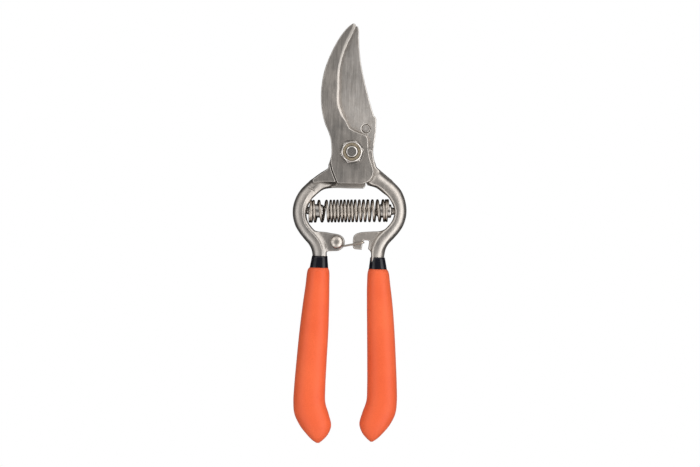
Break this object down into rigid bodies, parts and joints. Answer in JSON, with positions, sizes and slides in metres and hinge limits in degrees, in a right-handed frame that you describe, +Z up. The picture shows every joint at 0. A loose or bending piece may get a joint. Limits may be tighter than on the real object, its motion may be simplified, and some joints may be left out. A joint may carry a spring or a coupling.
{
  "type": "pruning shears",
  "caption": "Bypass pruning shears: forged hook and blade halves on a pivot bolt, coil spring between the shanks, wire catch and dipped handle grips.",
  "frame": {"origin": "on the pivot axis, at the back face of the bolt head, where the shears rest lying on their back", "axes": "+Z up through the thickness towards the nut, +Y along the shears to the jaw tips, +X towards the hook half's handle"},
  "size_m": [0.0569, 0.2099, 0.0186],
  "materials": {
    "blade_half": "satin forged steel",
    "hook_half": "satin forged steel",
    "blade_pin": "satin",
    "pivot_bolt": "satin",
    "rear_washer": "satin",
    "front_washer": "satin",
    "pivot_nut": "polished plating",
    "nut_insert": "matte nylon",
    "return_spring": "bright drawn wire",
    "catch_rivet": "polished dome",
    "rivet_washer": "satin",
    "catch_wire": "bright drawn wire",
    "left_spring_peg": "satin",
    "right_spring_peg": "satin",
    "left_sleeve": "glossy dipped vinyl",
    "right_sleeve": "glossy dipped vinyl",
    "left_grip": "matte dipped vinyl",
    "right_grip": "matte dipped vinyl"
  },
  "bodies": {
    "blade_side": {"blade_half": "blade_half", "blade_pin": "blade_pin", "pivot_bolt": "pivot_bolt", "rear_washer": "rear_washer", "front_washer": "front_washer", "pivot_nut": "pivot_nut", "nut_insert": "nut_insert", "return_spring": "return_spring", "catch_rivet": "catch_rivet", "rivet_washer": "rivet_washer", "left_spring_peg": "left_spring_peg", "left_sleeve": "left_sleeve", "left_grip": "left_grip"},
    "hook_side": {"hook_half": "hook_half", "right_spring_peg": "right_spring_peg", "right_sleeve": "right_sleeve", "right_grip": "right_grip"},
    "catch": {"catch_wire": "catch_wire"}
  },
  "joints": [
    {"name": "pivot", "type": "hinge", "parent": "blade_side", "child": "hook_side", "pos_m": [0, 0, 0.008], "axis": [0, 0, 1], "range_deg": [0, 28], "deforming": ["return_spring"]},
    {"name": "catch_turn", "type": "hinge", "parent": "blade_side", "child": "catch", "pos_m": [-0.0064, -0.045, 0.01175], "axis": [0, 0, -1], "range_deg": [0, 95]}
  ]
}
